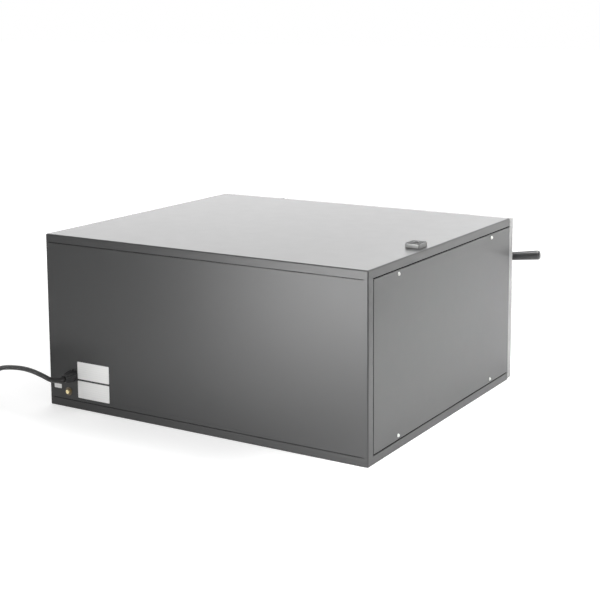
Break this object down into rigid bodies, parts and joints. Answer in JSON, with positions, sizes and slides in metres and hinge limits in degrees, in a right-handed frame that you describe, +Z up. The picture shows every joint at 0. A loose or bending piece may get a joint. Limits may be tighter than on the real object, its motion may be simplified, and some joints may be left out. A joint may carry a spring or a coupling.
{
  "type": "filament drying cabinet",
  "caption": "Low sheet-metal drying cabinet with a windowed front door on hinges, a lever latch, warm-air circulation, spool rollers, a control fascia and a mains cord.",
  "frame": {"origin": "middle of the cabinet's underside, on the surface it stands on", "axes": "+Z up, -Y towards the door, +X to the right seen from the door's side"},
  "size_m": [0.8506, 0.7185, 0.2865],
  "materials": {
    "anthracite_coat": "satin anthracite powder coat",
    "pale_coat": "satin pale grey powder coat",
    "zinc_sheet": "zinc plated sheet",
    "outlet_plastic": "satin pale grey",
    "chamber_steel": "brushed stainless steel",
    "mineral_wool": "pressed mineral wool board",
    "bright_screws": "bright zinc",
    "window_frame": "fine texture black",
    "window_pane": "clear",
    "seal_rubber": "matt silicone",
    "hinge_steel": "brushed",
    "pin_steel": "ground",
    "latch_plate": "polished",
    "grip_plastic": "semi gloss black",
    "black_plastic": "fine texture black",
    "display_panel": "gloss smoked",
    "button_plastic": "satin dark grey",
    "rocker_plastic": "gloss black",
    "motor_body": "cast",
    "heater_sheath": "heat tinted",
    "roller_steel": "ground",
    "bush_brass": "turned",
    "plate_white": "satin white film",
    "cord_sheath": "satin black"
  },
  "bodies": {
    "cabinet": {"base_tray": "anthracite_coat", "top_cover": "anthracite_coat", "rear_panel": "anthracite_coat", "side_panel_left": "anthracite_coat", "side_panel_right": "anthracite_coat", "inner_side_left": "anthracite_coat", "inner_side_right": "anthracite_coat", "control_fascia": "pale_coat", "front_frame": "zinc_sheet", "bay_partition": "zinc_sheet", "filament_outlet": "outlet_plastic", "chamber_floor": "chamber_steel", "chamber_roof": "chamber_steel", "chamber_rear": "chamber_steel", "chamber_left": "chamber_steel", "chamber_right": "chamber_steel", "air_baffle": "chamber_steel", "insulation_floor": "mineral_wool", "insulation_roof": "mineral_wool", "insulation_rear": "mineral_wool", "insulation_left": "mineral_wool", "insulation_right": "mineral_wool", "panel_screws": "bright_screws", "hinge_leaves_cabinet": "hinge_steel", "hinge_pins": "pin_steel", "controller_case": "black_plastic", "switch_body": "black_plastic", "terminal_block": "black_plastic", "cord_gland": "black_plastic", "display_lens": "display_panel", "fan_motor": "motor_body", "heater_ring": "heater_sheath", "temperature_probe": "heater_sheath", "roller_brackets": "roller_steel", "roller_bushes": "bush_brass", "earth_screw": "bush_brass", "rear_plates": "plate_white", "cord_lead": "cord_sheath", "cord_coil": "cord_sheath", "mains_plug": "cord_sheath"},
    "door": {"door_skin": "pale_coat", "door_liner": "chamber_steel", "door_insulation": "mineral_wool", "window_bezel": "window_frame", "window_glass": "window_pane", "door_gasket": "seal_rubber", "hinge_leaves_door": "hinge_steel", "latch_escutcheon": "latch_plate"},
    "lever": {"lever_hub": "pin_steel", "lever_grip": "grip_plastic", "latch_cam": "pin_steel"},
    "fan": {"fan_impeller": "motor_body"},
    "roller_1": {"spool_roller_1": "roller_steel"},
    "roller_2": {"spool_roller_2": "roller_steel"},
    "roller_3": {"spool_roller_3": "roller_steel"},
    "roller_4": {"spool_roller_4": "roller_steel"},
    "button_down": {"button_down": "button_plastic"},
    "button_set": {"button_set": "button_plastic"},
    "button_up": {"button_up": "button_plastic"},
    "rocker": {"switch_rocker": "rocker_plastic"}
  },
  "joints": [
    {"name": "door_hinge", "type": "hinge", "parent": "cabinet", "child": "door", "pos_m": [0.1615, -0.2606, 0.14], "axis": [0, 0, 1], "range_deg": [0, 115]},
    {"name": "lever_turn", "type": "hinge", "parent": "door", "child": "lever", "pos_m": [-0.236, -0.278, 0.202], "axis": [0, -1, 0], "range_deg": [0, 95]},
    {"name": "fan_spin", "type": "hinge", "parent": "cabinet", "child": "fan", "pos_m": [0.11, 0, 0.1405], "axis": [1, 0, 0], "continuous": true},
    {"name": "roller_1_spin", "type": "hinge", "parent": "cabinet", "child": "roller_1", "pos_m": [-0.1, -0.17025, 0.042], "axis": [1, 0, 0], "continuous": true},
    {"name": "roller_2_spin", "type": "hinge", "parent": "cabinet", "child": "roller_2", "pos_m": [-0.1, -0.06025, 0.042], "axis": [1, 0, 0], "continuous": true},
    {"name": "roller_3_spin", "type": "hinge", "parent": "cabinet", "child": "roller_3", "pos_m": [-0.1, 0.04975, 0.042], "axis": [1, 0, 0], "continuous": true},
    {"name": "roller_4_spin", "type": "hinge", "parent": "cabinet", "child": "roller_4", "pos_m": [-0.1, 0.15975, 0.042], "axis": [1, 0, 0], "continuous": true},
    {"name": "button_down_press", "type": "slide", "parent": "cabinet", "child": "button_down", "axis": [0, 1, 0], "range_m": [0, 0.0015], "stiffness_N_per_m": 300, "springref_m": -0.001},
    {"name": "button_set_press", "type": "slide", "parent": "cabinet", "child": "button_set", "axis": [0, 1, 0], "range_m": [0, 0.0015], "stiffness_N_per_m": 300, "springref_m": -0.001},
    {"name": "button_up_press", "type": "slide", "parent": "cabinet", "child": "button_up", "axis": [0, 1, 0], "range_m": [0, 0.0015], "stiffness_N_per_m": 300, "springref_m": -0.001},
    {"name": "rocker_tip", "type": "hinge", "parent": "cabinet", "child": "rocker", "pos_m": [0.2275, -0.255, 0.066], "axis": [1, 0, 0], "range_deg": [0, 16]}
  ]
}
